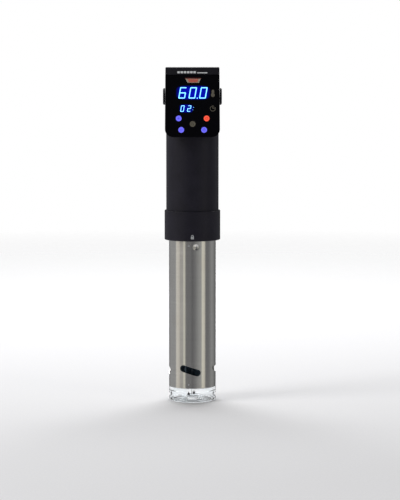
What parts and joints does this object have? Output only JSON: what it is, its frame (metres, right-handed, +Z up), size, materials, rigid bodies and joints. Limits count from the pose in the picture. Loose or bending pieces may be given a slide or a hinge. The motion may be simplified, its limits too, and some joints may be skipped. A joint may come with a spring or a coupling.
{
  "type": "sous vide circulator",
  "caption": "Upright immersion heater and stirrer: tilting touch display over a round body, clamp collar, slotted steel skirt and clear end cap.",
  "frame": {"origin": "on the tube's axis, in the bottom plane of the clear end cap", "axes": "+Z up along the tube towards the head; -Y is the way the display faces; +X is to the right of someone reading the display"},
  "size_m": [0.0688, 0.0825, 0.392],
  "materials": {
    "satin_black_plastic": "satin, faintly textured",
    "gloss_black_acrylic": "polished",
    "brushed_stainless": "fine circumferential brushing",
    "clear_polycarbonate": "polished, clear",
    "black_rubber": "matte",
    "red_silicone": "matte",
    "grey_nylon": "moulded",
    "bronze": "sintered",
    "zinc_plated_steel": "bright zinc",
    "circuit_board": "solder mask",
    "yellow_tape": "taped winding",
    "dark_plastic": "moulded",
    "blue_plastic": "moulded",
    "aluminium": "extruded",
    "display_blue": "lit segment display",
    "key_blue": "lit key",
    "key_red": "lit key",
    "key_unlit": "printed key"
  },
  "bodies": {
    "body": {"body_front_shell": "satin_black_plastic", "body_rear_shell": "satin_black_plastic", "lock_collar": "satin_black_plastic", "skirt_spigot": "grey_nylon", "spigot_seal_ring": "red_silicone", "heater_flange": "brushed_stainless", "flange_gasket": "red_silicone", "heater_coil": "brushed_stainless", "temperature_probe": "brushed_stainless", "level_probe_long": "brushed_stainless", "level_probe_short": "brushed_stainless", "shaft_tube": "brushed_stainless", "lower_shaft_bush": "bronze", "upper_shaft_bush": "bronze", "shaft_seal": "black_rubber", "motor_bracket": "zinc_plated_steel", "motor_can": "zinc_plated_steel", "power_board": "circuit_board", "transformer": "yellow_tape", "relay": "dark_plastic", "terminal_block": "blue_plastic", "capacitor": "dark_plastic", "heat_sink": "aluminium", "cord_inlet_gland": "black_rubber", "shell_screw_1": "zinc_plated_steel", "shell_screw_2": "zinc_plated_steel", "shell_screw_3": "zinc_plated_steel", "shell_screw_4": "zinc_plated_steel", "pivot_pin_left": "brushed_stainless", "pivot_pin_right": "brushed_stainless", "friction_washer_left": "bronze", "friction_washer_right": "bronze"},
    "rotor": {"drive_shaft": "brushed_stainless", "impeller": "grey_nylon", "cooling_fan": "dark_plastic"},
    "skirt": {"steel_skirt": "brushed_stainless"},
    "cap": {"end_cap": "clear_polycarbonate"},
    "head": {"head_housing": "satin_black_plastic", "head_hood": "satin_black_plastic", "front_panel": "gloss_black_acrylic", "display_board": "circuit_board", "led_display_large": "display_blue", "led_display_small": "display_blue", "key_light_guide_upper_left": "key_blue", "key_light_guide_upper_right": "key_red", "key_light_guide_centre": "key_unlit", "key_light_guide_lower_left": "key_blue", "key_light_guide_lower_right": "key_blue", "pivot_cap_left": "satin_black_plastic", "pivot_cap_right": "satin_black_plastic"}
  },
  "joints": [
    {"name": "head_tilt", "type": "hinge", "parent": "body", "child": "head", "pos_m": [0, 0, 0.3577], "axis": [-1, 0, 0], "range_deg": [0, 45]},
    {"name": "skirt_pull", "type": "slide", "parent": "body", "child": "skirt", "axis": [0, 0, -1], "range_m": [0, 0.18]},
    {"name": "cap_twist", "type": "hinge", "parent": "skirt", "child": "cap", "pos_m": [0, 0, 0.0083], "axis": [0, 0, 1], "range_deg": [0, 30]},
    {"name": "impeller_spin", "type": "hinge", "parent": "body", "child": "rotor", "pos_m": [0, 0, 0.155], "axis": [0, 0, 1], "continuous": true}
  ]
}
